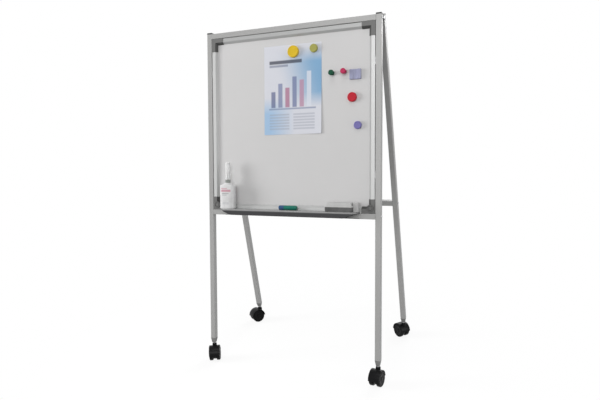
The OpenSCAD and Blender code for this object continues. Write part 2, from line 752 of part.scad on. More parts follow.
// Bottle with a sloped shoulder, a collar and a pump stem
module bottle_outline() {
    r = bottle_size[1] / 2;
    span = bottle_size[0] - bottle_size[1];
    translate([-span / 2, -r]) square([span, 2 * r]);
    for (s = [-1, 1]) translate([s * span / 2, 0]) circle(r);
}
collar_v = bottle_size[2] + shoulder_h;
pump_v = collar_v + collar[1] + pump_travel + 0.5;
module spray_bottle() color([0.92, 0.92, 0.93]) on_tray(bottle_x, bottle_size[1]) {
    linear_extrude(bottle_size[2]) bottle_outline();
    hull() {
        translate([0, 0, bottle_size[2] - 0.5]) linear_extrude(0.5) bottle_outline($fn = 32);
        translate([0, 0, collar_v - 0.5]) cylinder(r = collar[0] + 1, h = 0.5, $fn = 32);
    }
    translate([0, 0, collar_v]) cylinder(r = collar[0], h = collar[1]);
    translate([0, 0, collar_v + collar[1]]) cylinder(r = 2, h = pump_travel + 3);
}
module spray_pump() color("white") on_tray(bottle_x, bottle_size[1]) translate([0, 0, pump_v])
    difference() {
        cylinder(r = pump[0], h = pump[1]);
        translate([0, 0, -1]) cylinder(r = 2 + run_clear, h = 4 + pump_travel);
        // spray hole
        translate([0, 0, pump[1] - 3]) rotate([90, 0, 0]) cylinder(r = 0.6, h = 2 * pump[0]);
    }
module spray_cap() color([0.95, 0.95, 0.96]) on_tray(bottle_x, bottle_size[1])
    translate([0, 0, collar_v + collar[1]]) difference() {
        union() {
            cylinder(r = cap[0], h = cap[1] - 2);
            translate([0, 0, cap[1] - 2]) cylinder(r1 = cap[0], r2 = cap[0] - 2, h = 2);
        }
        translate([0, 0, -1]) cylinder(r = pump[0] + cap_gap, h = cap[1] - 1);
    }

left_upright();
right_upright();
top_rail();
bottom_rail();
front_rail_inserts();
front_screws();
front_hinge_caps();
front_leg_plugs();
front_castor_stems();
writing_surface();
board_core();
board_back_sheet();
rim_top();
rim_bottom();
rim_left();
rim_right();
rim_corner_caps();
board_brackets();
pen_tray();
paper_sheet();
rear_left_leg();
rear_right_leg();
rear_top_rail();
rear_crossbar();
rear_rail_inserts();
rear_screws();
rear_hinge_caps();
hinge_pins();
rear_leg_plugs();
rear_castor_stems();
color(BLACK) castor_place(0) yoke();  // castor_fl_yoke
color(STEEL) castor_place(0) axle();  // castor_fl_axle
color(BLACK) castor_place(0) wheel(-1);  // castor_fl_wheel_a
color(BLACK) castor_place(0) wheel(1);  // castor_fl_wheel_b
color(BLACK) castor_place(1) yoke();  // castor_fr_yoke
color(STEEL) castor_place(1) axle();  // castor_fr_axle
color(BLACK) castor_place(1) wheel(-1);  // castor_fr_wheel_a
color(BLACK) castor_place(1) wheel(1);  // castor_fr_wheel_b
color(BLACK) castor_place(2) yoke();  // castor_rl_yoke
color(STEEL) castor_place(2) axle();  // castor_rl_axle
color(BLACK) castor_place(2) wheel(-1);  // castor_rl_wheel_a
color(BLACK) castor_place(2) wheel(1);  // castor_rl_wheel_b
color(BLACK) castor_place(3) yoke();  // castor_rr_yoke
color(STEEL) castor_place(3) axle();  // castor_rr_axle
color(BLACK) castor_place(3) wheel(-1);  // castor_rr_wheel_a
color(BLACK) castor_place(3) wheel(1);  // castor_rr_wheel_b
magnet_yellow_large();
magnet_yellow_small();
magnet_red();
magnet_violet();
pin_magnet_green();
pin_magnet_pink();
magnet_block();
marker_barrel();
marker_cap();
eraser_grip();
eraser_felt();
spray_bottle();
spray_pump();
spray_cap();
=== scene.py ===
# Looks of the mobile whiteboard easel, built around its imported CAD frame.
# Places are in metres in the part's own frame; the sizes of pieces are in millimetres and scaled by MM.
import json
import math

import bmesh
import bpy
from mathutils import Matrix, Vector


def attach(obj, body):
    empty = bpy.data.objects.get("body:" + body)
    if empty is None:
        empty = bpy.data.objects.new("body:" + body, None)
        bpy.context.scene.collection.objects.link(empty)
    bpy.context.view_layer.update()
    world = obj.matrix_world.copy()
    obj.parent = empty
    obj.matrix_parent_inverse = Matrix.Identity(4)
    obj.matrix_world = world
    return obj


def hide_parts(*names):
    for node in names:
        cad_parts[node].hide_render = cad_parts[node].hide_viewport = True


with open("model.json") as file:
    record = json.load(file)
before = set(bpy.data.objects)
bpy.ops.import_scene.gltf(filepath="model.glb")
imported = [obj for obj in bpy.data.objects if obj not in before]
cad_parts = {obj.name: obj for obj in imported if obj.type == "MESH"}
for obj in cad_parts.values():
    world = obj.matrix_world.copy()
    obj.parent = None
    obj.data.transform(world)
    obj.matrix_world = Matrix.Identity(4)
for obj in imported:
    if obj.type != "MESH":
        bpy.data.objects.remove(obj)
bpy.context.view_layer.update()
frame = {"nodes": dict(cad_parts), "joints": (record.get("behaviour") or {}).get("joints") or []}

MM = 0.001
CASTORS = ("fl", "fr", "rl", "rr")


# Places read from the frame

def joint(name):
    return next(j for j in frame["joints"] if j["name"] == name)


def reach(node, axis):
    """Lowest and highest reach of a CAD node along an axis, in metres from the origin."""
    dots = [axis.dot(v.co) for v in frame["nodes"][node].data.vertices]
    return min(dots), max(dots)


# ACROSS runs to the right, OUT leads away from the board and UP runs up the front legs
ACROSS = Vector((1, 0, 0))
OUT = Vector(joint("red_magnet_pull")["axis"])
UP = Vector((0, OUT.z, -OUT.y))
VERTICAL = Vector((0, 0, 1))
PIN = Vector(joint("frame_fold")["pos_m"])
STAND = Vector((PIN.x, PIN.y, 0))
# direction of the grain first, then the two across it
FRONT_AXES = (UP, ACROSS, OUT)
REAR_AXES = (Vector((0, -UP.y, UP.z)), ACROSS, Vector((0, -OUT.y, OUT.z)))
RAIL_AXES = (ACROSS, UP, OUT)


def axes_matrix(x_axis, y_axis, z_axis, origin):
    """Placement whose local axes are the three unit vectors given."""
    place = Matrix((x_axis, y_axis, z_axis)).transposed().to_4x4()
    place.translation = origin
    return place


def middle(node, axis):
    """Middle of a CAD node along an axis, in metres from the origin."""
    return sum(reach(node, axis)) / 2


def size(node, axis):
    """Size of a CAD node along an axis, in millimetres."""
    low, high = reach(node, axis)
    return (high - low) / MM


def on_board(node):
    """Placement behind a board item's middle, Z away from the board."""
    origin = ACROSS * middle(node, ACROSS) + UP * middle(node, UP) + OUT * reach(node, OUT)[0]
    return axes_matrix(ACROSS, UP, OUT, origin)


def on_tray(node):
    """Placement under a tray item's middle, X across and Z up the legs."""
    origin = ACROSS * middle(node, ACROSS) + OUT * middle(node, OUT) + UP * reach(node, UP)[0]
    return axes_matrix(ACROSS, -OUT, UP, origin)


# Camera, at the photograph's viewing angle

CAMERA_FROM_STAND = Vector((0.77857, -1.74597, 0.92480))
CAMERA_RIGHT = Vector((0.91456146, 0.39952188, -0.0629253))
CAMERA_UP = Vector((-0.01804108, 0.19572758, 0.98049234))
CAMERA_BACK = Vector((0.40404436, -0.89558527, 0.18621271))
LENS_MM = 32.80
SENSOR_MM = 36


def add_camera():
    camera = bpy.data.objects.new("camera", bpy.data.cameras.new("camera"))
    camera.data.lens = LENS_MM
    camera.data.sensor_width = SENSOR_MM
    camera.data.clip_start = 0.05
    camera.matrix_world = axes_matrix(CAMERA_RIGHT, CAMERA_UP, CAMERA_BACK, STAND + CAMERA_FROM_STAND)
    bpy.context.scene.collection.objects.link(camera)
    bpy.context.scene.camera = camera


# Shader nodes

class Shader:
    """Small helper that builds the nodes of a material or a world."""

    def __init__(self, owner, output="ShaderNodeOutputMaterial"):
        self.owner = owner
        owner.use_nodes = True
        self.tree = owner.node_tree
        self.tree.nodes.clear()
        self.output = self.add(output)

    def add(self, kind, **values):
        """Adds a node; values are its properties, and its inputs by number or name."""
        made = self.tree.nodes.new(kind)
        inputs = values.pop("inputs", {})
        for key, value in values.items():
            setattr(made, key, value)
        for key, value in inputs.items():
            self.put(made.inputs[key], value)
        return made

    def put(self, socket, value):
        if isinstance(value, bpy.types.NodeSocket):
            self.tree.links.new(value, socket)
        else:
            socket.default_value = value

    def math(self, operation, a, b=0.0):
        return self.add("ShaderNodeMath", operation=operation, inputs={0: a, 1: b}).outputs[0]

    def mix(self, factor, a, b):
        """Colour between a and b; inputs 6 and 7 and output 2 are the node's colour sockets."""
        made = self.add("ShaderNodeMix", data_type="RGBA")
        self.put(made.inputs["Factor"], factor)
        self.put(made.inputs[6], a)
        self.put(made.inputs[7], b)
        return made.outputs[2]

    def ramp(self, value, low, high, start=0.0, end=1.0, kind="LINEAR"):
        """Value from low to high, turned into start to end and held there outside."""
        made = self.add("ShaderNodeMapRange", interpolation_type=kind,
                        inputs={"Value": value, "From Min": low, "From Max": high,
                                "To Min": start, "To Max": end})
        return made.outputs[0]

    def local_place(self):
        """The three object coordinates, one output each."""
        return self.add("ShaderNodeSeparateXYZ",
                        inputs={0: self.add("ShaderNodeTexCoord").outputs["Object"]}).outputs

    def coordinates(self, axes=(ACROSS, Vector((0, 1, 0)), VERTICAL)):
        """Object coordinates along the axes given, so that grain can follow a bar."""
        point = self.add("ShaderNodeTexCoord").outputs["Object"]
        combined = self.add("ShaderNodeCombineXYZ")
        for i, axis in enumerate(axes):
            dot = self.add("ShaderNodeVectorMath", operation="DOT_PRODUCT", inputs={0: point, 1: axis})
            self.put(combined.inputs[i], dot.outputs["Value"])
        return combined.outputs[0]

    def noise(self, where, size_mm, detail=3.0, stretch=1.0):
        """Noise whose grains are size_mm wide, and stretch times as long along the first axis."""
        fine = 1 / (size_mm * MM)
        scaled = self.add("ShaderNodeVectorMath", operation="MULTIPLY",
                          inputs={0: where, 1: (fine / stretch, fine, fine)})
        made = self.add("ShaderNodeTexNoise",
                        inputs={"Vector": scaled.outputs[0], "Scale": 1.0, "Detail": detail})
        return made.outputs["Fac"]

    def spread(self, value, low, high):
        """Value from 0.3 to 0.7, where noise mostly lies, spread from low to high."""
        return self.ramp(value, 0.3, 0.7, low, high)

    def window(self, value, low, high, soft):
        """1 between low and high, fading to 0 over soft on either side."""
        return self.math("MULTIPLY", self.ramp(value, low - soft, low),
                         self.ramp(value, high, high + soft, 1.0, 0.0))

    def facing(self, axis, low, high):
        """0 to 1 as the surface turns towards an axis."""
        normal = self.add("ShaderNodeNewGeometry").outputs["Normal"]
        turned = self.add("ShaderNodeVectorMath", operation="DOT_PRODUCT", inputs={0: normal, 1: axis})
        return self.ramp(turned.outputs["Value"], low, high, kind="SMOOTHSTEP")

    def patch(self, tone, u, v, box, color, opacity=1.0, soft=0.01):
        """Tone with a soft-edged rectangle of another colour on it; box holds its reach along u, then v."""
        inside = self.math("MULTIPLY", self.window(u, box[0], box[1], soft),
                           self.window(v, box[2], box[3], soft))
        return self.mix(self.math("MULTIPLY", inside, opacity), tone, color)

    def studio_rays(self):
        """1 for rays from the camera, off gloss or through clear pieces, and 0 for the others."""
        path = self.add("ShaderNodeLightPath")
        seen = self.math("MAXIMUM", path.outputs["Is Camera Ray"], path.outputs["Is Glossy Ray"])
        return self.math("MAXIMUM", seen, path.outputs["Is Transmission Ray"])

    def surface(self, color, roughness, normal, **sockets):
        """Principled surface; sockets hold constants by name, with _ for a space."""
        made = self.add("ShaderNodeBsdfPrincipled")
        self.put(made.inputs["Base Color"], color)
        self.put(made.inputs["Roughness"], roughness)
        self.put(made.inputs["Normal"], normal)
        for key, value in sockets.items():
            self.put(made.inputs[key.replace("_", " ")], value)
        self.put(self.output.inputs["Surface"], made.outputs[0])

    def bump(self, height, depth_mm):
        return self.add("ShaderNodeBump", inputs={"Height": height, "Distance": depth_mm * MM}).outputs[0]


def grey(level):
    return (level, level, level, 1)


def shade(color, factor):
    return (color[0] * factor, color[1] * factor, color[2] * factor, 1)


def metal(name, color, roughness, axes=None, streak_mm=0.35, metallic=0.25, slope=1.0):
    """Satin metal with grain drawn out along the first axis; slopes beside the front get painted shade."""
    s = Shader(bpy.data.materials.new(name))
    where = s.coordinates(axes) if axes else s.coordinates()
    streaks = s.noise(where, streak_mm, 4.0, 60 if axes else 4)
    cloud = s.noise(where, 60, 3.0, 4)
    tone = s.mix(s.spread(streaks, 0, 1), shade(color, 0.96), shade(color, 1.03))
    tone = s.mix(s.math("MULTIPLY", s.spread(cloud, 0, 1), 0.2), tone, shade(color, 0.88))
    # painted shade: surfaces turned away from the front, such as the rims' inner slopes, are darkened to
    # slope times the colour
    if slope < 1:
        tone = s.mix(s.facing(OUT, 0.93, 0.99), shade(color, slope), tone)
    rough = s.math("ADD", s.spread(streaks, roughness - 0.04, roughness + 0.04), s.spread(cloud, -0.03, 0.04))
    s.surface(tone, rough, s.bump(streaks, 0.005), Metallic=metallic)
    return s.owner


def plastic(name, color, roughness, grain_mm=0.5, depth_mm=0.02, mottle=0.05, faces=None, **sockets):
    """Moulded plastic: spark-eroded grain, slight mottling and uneven gloss.

    faces may hold an axis, the painted light colour of the surfaces that turn towards it, and
    between which two cosines that colour comes in."""
    s = Shader(bpy.data.materials.new(name))
    where = s.coordinates()
    grain = s.noise(where, grain_mm, 2.0)
    cloud = s.noise(where, 25, 3.0)
    tone = s.mix(s.spread(cloud, 0, 1), shade(color, 1 - mottle), shade(color, 1 + mottle))
    # painted light: surfaces turned towards the axis take the lighter colour
    if faces:
        axis, other, low, high = faces
        tone = s.mix(s.facing(axis, low, high), tone, other)
    rough = s.math("ADD", s.spread(grain, roughness - 0.03, roughness + 0.03), s.spread(cloud, -0.02, 0.03))
    s.surface(tone, rough, s.bump(grain, depth_mm), **sockets)
    return s.owner


def enamel(name, color):
    """Glossy white steel enamel with faint wipe marks along the board."""
    s = Shader(bpy.data.materials.new(name))
    where = s.coordinates(RAIL_AXES)
    cloud = s.noise(where, 140, 2.0)
    wipes = s.noise(where, 9, 3.0, 9)
    peel = s.noise(where, 2.6, 1.0)
    tone = s.mix(s.spread(cloud, 0, 1), shade(color, 0.985), shade(color, 1.01))
    tone = s.mix(s.math("MULTIPLY", s.spread(wipes, 0, 1), 0.25), tone, shade(color, 0.975))
    rough = s.math("ADD", s.spread(wipes, 0.15, 0.21), s.spread(cloud, -0.01, 0.02))
    s.surface(tone, rough, s.bump(peel, 0.0006), Coat_Weight=0.3, Coat_Roughness=0.08)
    return s.owner


def printed_sheet(name, node):
    """Glossy leaflet: a pale head, a blue ground with a plain bar chart, and ruled lines below."""
    s = Shader(bpy.data.materials.new(name))
    local = s.local_place()
    u, v = (s.math("ADD", s.math("DIVIDE", along, size(node, axis) * MM), 0.5)
            for along, axis in ((local[0], ACROSS), (local[1], UP)))
    fibre = s.noise(s.coordinates(), 1.1, 3.0)
    white = (0.60, 0.61, 0.66, 1)
    tone = s.mix(s.spread(fibre, 0, 1), shade(white, 0.985), shade(white, 1.015))
    slope = s.math("ADD", s.math("MULTIPLY", u, 0.9), s.math("MULTIPLY", v, 0.35))
    across = s.ramp(slope, 0.42, 1.12, kind="SMOOTHSTEP")
    ground = s.math("MULTIPLY", across, s.window(v, 0.46, 0.80, 0.16))
    tone = s.mix(s.math("MULTIPLY", ground, 0.95), tone, (0.17, 0.34, 0.53, 1))
    foot = s.math("MULTIPLY", s.window(u, -1, 0.12, 0.42), s.window(v, -1, 0.24, 0.18))
    tone = s.mix(s.math("MULTIPLY", foot, 0.8), tone, (0.26, 0.44, 0.65, 1))
    for box, color, opacity in PRINT:
        tone = s.patch(tone, u, v, box, color, opacity)
    s.surface(tone, s.spread(fibre, 0.33, 0.40), s.bump(fibre, 0.004), Specular_IOR_Level=0.4)
    return s.owner


def bottle_skin(name, shoulder_mm):
    """White blown plastic with a plain banded label and a grey collar above the shoulder."""
    s = Shader(bpy.data.materials.new(name))
    local = s.local_place()
    cloud = s.noise(s.coordinates(), 20, 3.0)
    grain = s.noise(s.coordinates(), 0.6, 2.0)
    color = (0.62, 0.62, 0.62, 1)
    tone = s.mix(s.spread(cloud, 0, 1), shade(color, 0.97), shade(color, 1.03))
    x, z = local[0], local[2]
    for low, high, left, right, ink, opacity in LABEL:
        box = (left * MM, right * MM, low * MM, high * MM)
        tone = s.patch(tone, x, z, box, ink, opacity, 0.5 * MM)
    tone = s.mix(s.math("GREATER_THAN", z, shoulder_mm * MM), tone, COLLAR_COLOR)
    s.surface(tone, s.spread(cloud, 0.24, 0.33), s.bump(grain, 0.004), Specular_IOR_Level=0.45)
    return s.owner


# Mesh code

WELD_MM = 0.0005
ON_AXIS_MM = 1e-6
# a rounding takes at most this share of the sides beside it
LONGEST_ROUNDING = 0.49


def arc_corners(corners, steps=5, closed=True):
    """Outline through (x, y, radius) corners, with an arc of that radius at each."""
    outline = []
    count = len(corners)
    for i, corner in enumerate(corners):
        here = Vector(corner[:2])
        radius = corner[2] if len(corner) > 2 else 0
        at_end = not closed and i in (0, count - 1)
        if radius <= 0 or at_end:
            outline.append(here)
            continue
        to_last = Vector(corners[i - 1][:2]) - here
        to_next = Vector(corners[(i + 1) % count][:2]) - here
        last_len, next_len = to_last.length, to_next.length
        to_last.normalize()
        to_next.normalize()
        half = to_last.angle(to_next) / 2
        setback = min(radius / math.tan(half), LONGEST_ROUNDING * min(last_len, next_len))
        radius = setback * math.tan(half)
        centre = here + (to_last + to_next).normalized() * (radius / math.sin(half))
        start = here + to_last * setback - centre
        end = here + to_next * setback - centre
        turn = start.angle_signed(end)
        for k in range(steps + 1):
            # angle_signed is clockwise-positive in Blender
            outline.append(centre + Matrix.Rotation(-turn * k / steps, 2) @ start)
    return outline


def finish_mesh(mesh_name, bm, place, material, sharp_deg=35):
    """Turns a bmesh in mm into an object at its place, smooth except at sharp edges."""
    bmesh.ops.remove_doubles(bm, verts=bm.verts, dist=WELD_MM)
    bmesh.ops.recalc_face_normals(bm, faces=bm.faces)
    bmesh.ops.scale(bm, vec=(MM, MM, MM), verts=bm.verts)
    mesh = bpy.data.meshes.new(mesh_name)
    bm.to_mesh(mesh)
    bm.free()
    mesh.polygons.foreach_set("use_smooth", [True] * len(mesh.polygons))
    mesh.set_sharp_from_angle(angle=math.radians(sharp_deg))
    mesh.materials.append(material)
    made = bpy.data.objects.new(mesh_name, mesh)
    made.matrix_world = place
    bpy.context.scene.collection.objects.link(made)
    return made


def add_skin(bm, rings, caps=True):
    """Faces between rings of equal length; a ring may be one point, for an axis."""
    rows = [[bm.verts.new(p) for p in ring] for ring in rings]
    for low, high in zip(rows, rows[1:]):
        count = max(len(low), len(high))
        for i in range(count):
            j = (i + 1) % count
            quad = [low[i % len(low)], low[j % len(low)], high[j % len(high)], high[i % len(high)]]
            unique = list(dict.fromkeys(quad))
            if len(unique) > 2:
                bm.faces.new(unique)
    if caps:
        for row in (rows[0], rows[-1]):
            if len(row) > 2:
                bm.faces.new(row)


def arc_points(radius, steps, start=0.0, end=math.pi):
    """Points on an arc about the origin."""
    angles = (start + (end - start) * k / steps for k in range(steps + 1))
    return [Vector((radius * math.cos(a), radius * math.sin(a))) for a in angles]


def lathe_rings(corners, turns=64, steps=4, flute=0.0):
    """Rings about Z from (radius, height, rounding) corners, with every second point flute lower."""
    rings = []
    for r, z in arc_corners(corners, steps, closed=False):
        if r < ON_AXIS_MM:
            rings.append([Vector((0, 0, z))])
            continue
        ring = []
        for k in range(turns):
            a = 2 * math.pi * k / turns
            low = r - flute * (k % 2)
            ring.append(Vector((low * math.cos(a), low * math.sin(a), z)))
        rings.append(ring)
    return rings


def inset_outline(outline, inset):
    """Outline moved inwards; its points run counter-clockwise."""
    moved = []
    count = len(outline)
    for i, here in enumerate(outline):
        before = (here - outline[i - 1]).normalized()
        after = (outline[(i + 1) % count] - here).normalized()
        normal_a = Vector((-before.y, before.x))
        normal_b = Vector((-after.y, after.x))
        side = (normal_a + normal_b).normalized()
        moved.append(here + side * (inset / max(side.dot(normal_a), 0.5)))
    return moved


def stack_rings(outline, levels):
    """Rings of one outline at (height, inset) levels."""
    return [[Vector((p.x, p.y, z)) for p in inset_outline(outline, inset)] for z, inset in levels]


def rounded_levels(low, high, edge, steps=4):
    """Levels of a block whose two ends have rounded edges."""
    turn = [math.pi / 2 * k / steps for k in range(steps + 1)]
    start = [(low + edge * (1 - math.sin(a)), edge * (1 - math.cos(a))) for a in reversed(turn)]
    end = [(high - edge * (1 - math.sin(a)), edge * (1 - math.cos(a))) for a in turn]
    return start + end


def block_rings(outline, low, high, edge):
    """Rings of an outline drawn out from low to high, with rounded edges."""
    return stack_rings(outline, rounded_levels(low, high, edge))


def rectangle(width, depth, radius, middle_at=(0, 0)):
    """Counter-clockwise rectangle with round corners."""
    x, y = middle_at
    w, d = width / 2, depth / 2
    return arc_corners([(x - w, y - d, radius), (x + w, y - d, radius),
                        (x + w, y + d, radius), (x - w, y + d, radius)], 6)


def piece(name, place, body, nodes, slot, skins, sharp_deg=35):
    """Object made of skins in the slot's material, riding on a body and standing for CAD nodes."""
    bm = bmesh.new()
    for rings in skins:
        add_skin(bm, rings)
    made = finish_mesh(name, bm, place, MATERIALS[slot], sharp_deg)
    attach(made, body)
    if nodes:
        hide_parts(*nodes)


# Materials

TUBE_COLOR = (0.355, 0.355, 0.35, 1)
RIM_COLOR = (0.56, 0.565, 0.56, 1)
COLLAR_COLOR = (0.24, 0.26, 0.24, 1)
# heights of the bottle's collar and shoulder over its foot
COLLAR_HEIGHT_MM = 11
COLLAR_TOP_MM = (reach("spray_cap", UP)[0] - reach("spray_bottle", UP)[0]) / MM
SHOULDER_MM = COLLAR_TOP_MM - COLLAR_HEIGHT_MM
# printed areas of the leaflet: reach across and up as shares of the sheet, colour and opacity
HEADINGS = [((0.10, 0.66, 0.800, 0.828), (0.03, 0.035, 0.06, 1), 0.85),
            ((0.10, 0.42, 0.765, 0.780), (0.10, 0.12, 0.20, 1), 0.6)]
# height and colour of each bar of the chart
BARS = [(0.17, (0.10, 0.12, 0.24, 1)), (0.26, (0.17, 0.20, 0.34, 1)), (0.21, (0.36, 0.13, 0.22, 1)),
        (0.33, (0.13, 0.16, 0.30, 1)), (0.29, (0.42, 0.22, 0.32, 1)), (0.38, (0.62, 0.65, 0.72, 1))]
BAR_FOOT, BAR_PITCH, BAR_WIDTH = 0.31, 0.125, 0.065
CHART = [((0.13 + BAR_PITCH * i, 0.13 + BAR_WIDTH + BAR_PITCH * i, BAR_FOOT, BAR_FOOT + rise), color, 0.8)
         for i, (rise, color) in enumerate(BARS)]
BASE_LINE = [((0.09, 0.90, 0.285, 0.292), (0.16, 0.20, 0.32, 1), 0.7)]
LINE_PITCH = 0.032
RULED_LINES = [((left, right, 0.06 + LINE_PITCH * i, 0.068 + LINE_PITCH * i), (0.30, 0.32, 0.38, 1), 0.5)
               for left, right in ((0.10, 0.44), (0.52, 0.88)) for i in range(6)]
PRINT = HEADINGS + CHART + BASE_LINE + RULED_LINES
# label of the bottle: low, high, left and right reach in mm, colour and opacity
LABEL = [(60, 67, -19, 19, (0.46, 0.13, 0.20, 1), 0.7), (70, 72.5, -19, 6, (0.46, 0.13, 0.20, 1), 0.6),
         (52, 55, -15, 12, (0.20, 0.21, 0.22, 1), 0.6), (47, 49, -15, 4, (0.25, 0.26, 0.27, 1), 0.5),
         (16, 24, -12, 12, (0.45, 0.46, 0.47, 1), 0.5)]

# colour, roughness and further settings of each material
METALS = {
    "tube_front": (TUBE_COLOR, 0.45, dict(axes=FRONT_AXES)),
    "tube_rear": (TUBE_COLOR, 0.45, dict(axes=REAR_AXES)),
    "tube_rail": (TUBE_COLOR, 0.45, dict(axes=RAIL_AXES)),
    # painted shade: slope darkens the inner slopes of each rim, by a different amount on each bar
    "rim_upright": (RIM_COLOR, 0.35, dict(axes=FRONT_AXES, streak_mm=0.3, slope=0.68)),
    "rim_rail": (RIM_COLOR, 0.35, dict(axes=RAIL_AXES, streak_mm=0.3, slope=0.8)),
    # painted shade: the top rim is a darker copy of the same rim colour, standing in for less light falling
    # on it
    "rim_top_painted_shade": (shade(RIM_COLOR, 0.72), 0.35, dict(axes=RAIL_AXES, streak_mm=0.3, slope=0.92)),
    "steel": ((0.42, 0.42, 0.43, 1), 0.32, dict(metallic=0.8)),
}
PLASTICS = {
    "black_plastic": ((0.035, 0.035, 0.035, 1), 0.50, dict(Specular_IOR_Level=0.3)),
    "grey_plastic": ((0.22, 0.22, 0.215, 1), 0.45, dict(Specular_IOR_Level=0.3)),
    # painted light and shade: the corner caps' front-facing flats are lighter grey and their slopes stay dark
    "dark_grey_plastic": ((0.055, 0.055, 0.054, 1), 0.45, dict(
        Specular_IOR_Level=0.3, faces=(OUT, (0.15, 0.15, 0.148, 1), 0.90, 0.99))),
    # painted highlight: the tray's up-facing surfaces, such as the rounded top of its lip, are lighter grey
    "tray_plastic": ((0.038, 0.038, 0.040, 1), 0.42, dict(
        grain_mm=0.7, depth_mm=0.04, Specular_IOR_Level=0.30, faces=(UP, (0.30, 0.30, 0.30, 1), 0.10, 0.75))),
    "castor_plastic": ((0.0035, 0.0035, 0.004, 1), 0.30, dict(Specular_IOR_Level=0.12)),
    "wheel_rubber": ((0.003, 0.003, 0.0033, 1), 0.42, dict(grain_mm=0.4, Specular_IOR_Level=0.10)),
    "core_board": ((0.42, 0.31, 0.19, 1), 0.85, dict(grain_mm=1.2, depth_mm=0.1)),
    "yellow_plastic": ((0.63, 0.43, 0.018, 1), 0.35, dict(Specular_IOR_Level=0.3)),
    "olive_plastic": ((0.33, 0.32, 0.08, 1), 0.35, dict(Specular_IOR_Level=0.3)),
    "red_plastic": ((0.45, 0.010, 0.024, 1), 0.35, dict(Specular_IOR_Level=0.25)),
    "violet_plastic": ((0.165, 0.15, 0.37, 1), 0.35, dict(Specular_IOR_Level=0.25)),
    "green_plastic": ((0.004, 0.065, 0.032, 1), 0.35, dict(Specular_IOR_Level=0.2)),
    "pink_plastic": ((0.45, 0.03, 0.095, 1), 0.35, dict(Specular_IOR_Level=0.2)),
    "lavender_plastic": ((0.30, 0.31, 0.44, 1), 0.38, dict(Specular_IOR_Level=0.3)),
    "marker_green": ((0.008, 0.14, 0.10, 1), 0.32, dict(Specular_IOR_Level=0.25)),
    "marker_blue": ((0.03, 0.075, 0.17, 1), 0.30, dict(Specular_IOR_Level=0.25)),
    "eraser_plastic": ((0.45, 0.45, 0.445, 1), 0.45, dict(Specular_IOR_Level=0.3)),
    "felt": ((0.11, 0.11, 0.11, 1), 0.95, dict(
        grain_mm=0.6, depth_mm=0.25, mottle=0.2, Specular_IOR_Level=0.1)),
    "white_plastic": ((0.80, 0.80, 0.80, 1), 0.35, {}),
    "clear_plastic": ((0.90, 0.90, 0.90, 1), 0.30, dict(
        grain_mm=2, depth_mm=0.001, mottle=0.01, Transmission_Weight=0.6, IOR=1.25)),
}
MATERIALS = {name: metal(name, color, rough, **more) for name, (color, rough, more) in METALS.items()}
MATERIALS.update({name: plastic(name, color, rough, **more)
                  for name, (color, rough, more) in PLASTICS.items()})
MATERIALS["board_enamel"] = enamel("board_enamel", (0.565, 0.56, 0.56, 1))
MATERIALS["paper"] = printed_sheet("paper", "paper_sheet")
MATERIALS["bottle_plastic"] = bottle_skin("bottle_plastic", SHOULDER_MM)


# CAD nodes that keep their shape

SMALL_EDGE_MM = 0.35
CAD_NODES = {
    "tube_front": ("left_upright", "right_upright"),
    "tube_rear": ("rear_left_leg", "rear_right_leg"),
    "tube_rail": ("top_rail", "bottom_rail", "rear_top_rail", "rear_crossbar"),
    "black_plastic": ("front_rail_inserts", "rear_rail_inserts", "front_hinge_caps", "rear_hinge_caps"),
    "grey_plastic": ("front_leg_plugs", "rear_leg_plugs"),
    "steel": ("front_screws", "rear_screws", "hinge_pins", "front_castor_stems", "rear_castor_stems",
              "board_back_sheet", "board_brackets", *(f"castor_{name}_axle" for name in CASTORS)),
    "board_enamel": ("writing_surface",),
    "core_board": ("board_core",),
    "rim_top_painted_shade": ("rim_top",),
    "rim_rail": ("rim_bottom",),
    "rim_upright": ("rim_left", "rim_right"),
    "dark_grey_plastic": ("rim_corner_caps",),
    "tray_plastic": ("pen_tray",),
}


def dress_cad_node(node, material):
    """Gives a CAD node its material and softly rounded edges."""
    shown = frame["nodes"][node]
    shown.data.materials.clear()
    shown.data.materials.append(material)
    shown.data.polygons.foreach_set("use_smooth", [True] * len(shown.data.polygons))
    weld = shown.modifiers.new("weld", "WELD")
    weld.merge_threshold = 0.01 * MM
    flat = shown.modifiers.new("flat", "DECIMATE")
    flat.decimate_type = "DISSOLVE"
    flat.angle_limit = math.radians(0.5)
    edges = shown.modifiers.new("edges", "BEVEL")
    edges.width = SMALL_EDGE_MM * MM
    edges.segments = 2
    edges.limit_method = "ANGLE"
    edges.angle_limit = math.radians(30)
    normals = shown.modifiers.new("normals", "WEIGHTED_NORMAL")
    normals.weight = 100


def corner_covers():
    """Round screw covers at the inner corners of the two lower corner caps."""
    r = 11.5
    proud = 1.8
    face = reach("writing_surface", OUT)[1]
    h = (reach("rim_corner_caps", OUT)[1] - face) / MM + proud
    profile = [(0, 0), (r, 0), (r, h - 0.9, 0.8), (r - 0.9, h, 0.5), (r - 3.2, h, 0.4),
               (r - 3.8, h - 1.1, 0.4), (r - 4.8, h - 1.1, 0.4), (r - 5.6, h - 0.4, 0.6), (0, h - 0.2)]
    below, beside = 4 * MM, 5 * MM
    height = reach("rim_bottom", UP)[1] - below
    for side, across in (("left", reach("rim_left", ACROSS)[1] - beside),
                         ("right", reach("rim_right", ACROSS)[0] + beside)):
        place = axes_matrix(ACROSS, UP, OUT, ACROSS * across + UP * height + OUT * face)
        piece(f"corner_cover_{side}", place, "stand_front", (), "dark_grey_plastic",
              [lathe_rings(profile, 48)])


# Castors

